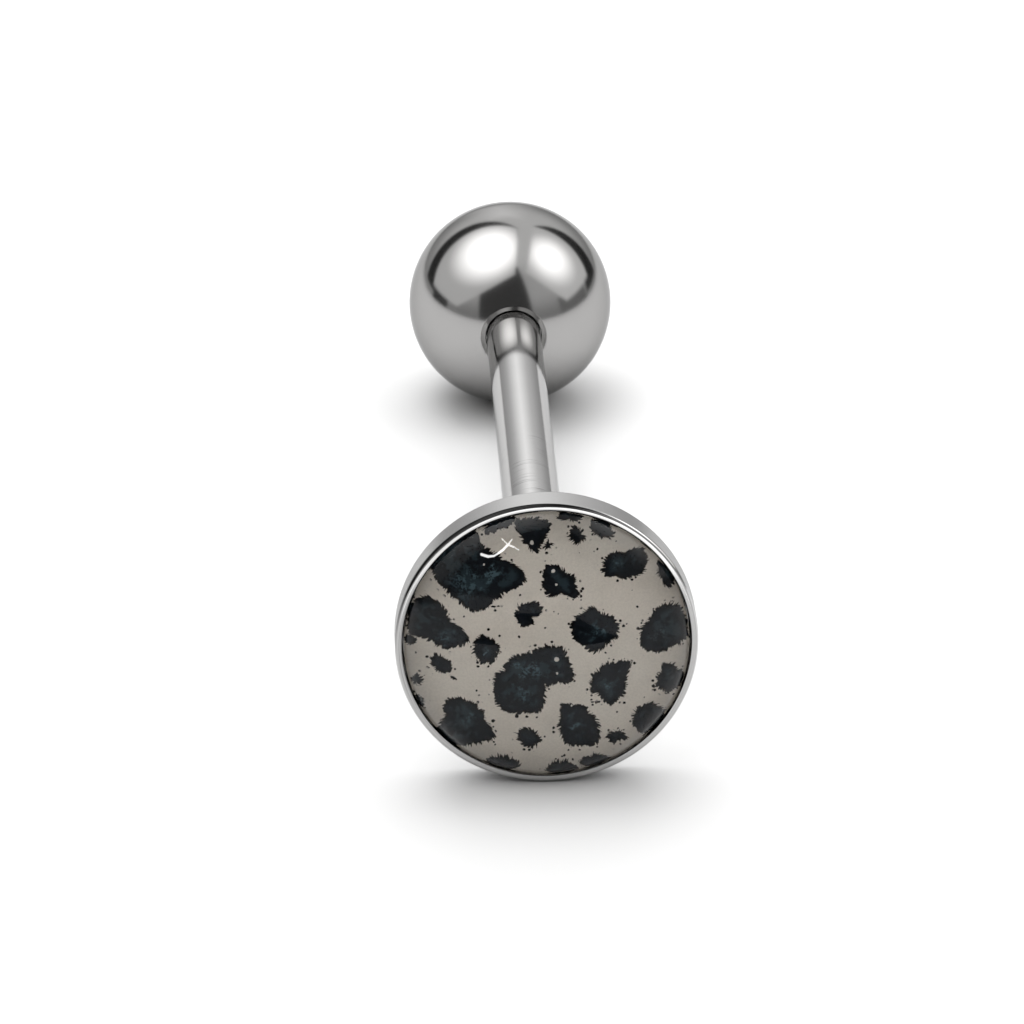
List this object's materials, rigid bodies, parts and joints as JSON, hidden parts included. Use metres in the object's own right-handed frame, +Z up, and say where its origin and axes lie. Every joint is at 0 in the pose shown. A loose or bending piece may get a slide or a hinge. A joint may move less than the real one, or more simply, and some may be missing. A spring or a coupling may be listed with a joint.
{
  "type": "piercing barbell",
  "caption": "Straight body piercing barbell: steel bar with a shallow cup holding a printed picture under a clear resin dome, and a screw-on ball at the other end.",
  "frame": {"origin": "on the table under the middle of the whole length, where the barbell lies on its ball and on the back edge of its cup", "axes": "+X to the right of someone facing the disc, +Y from the disc towards the ball, +Z up; the bar rises about 2.4 degrees towards the disc"},
  "size_m": [0.008, 0.0288, 0.008],
  "materials": {
    "polished_steel": "polished stainless steel with faint turning lines and small scratches",
    "ball_steel": "mirror polished stainless steel",
    "print": "matt printed picture, dark animal spots on taupe",
    "resin": "clear glossy domed resin"
  },
  "bodies": {
    "bar": {"bar_cup": "polished_steel", "print_disc": "print", "resin_dome": "resin"},
    "ball": {"screw_ball": "ball_steel"}
  },
  "joints": [
    {"name": "ball_unscrew", "type": "slide", "parent": "bar", "child": "ball", "axis": [0, 0.9991, -0.0415], "range_m": [0, 0.008]}
  ]
}
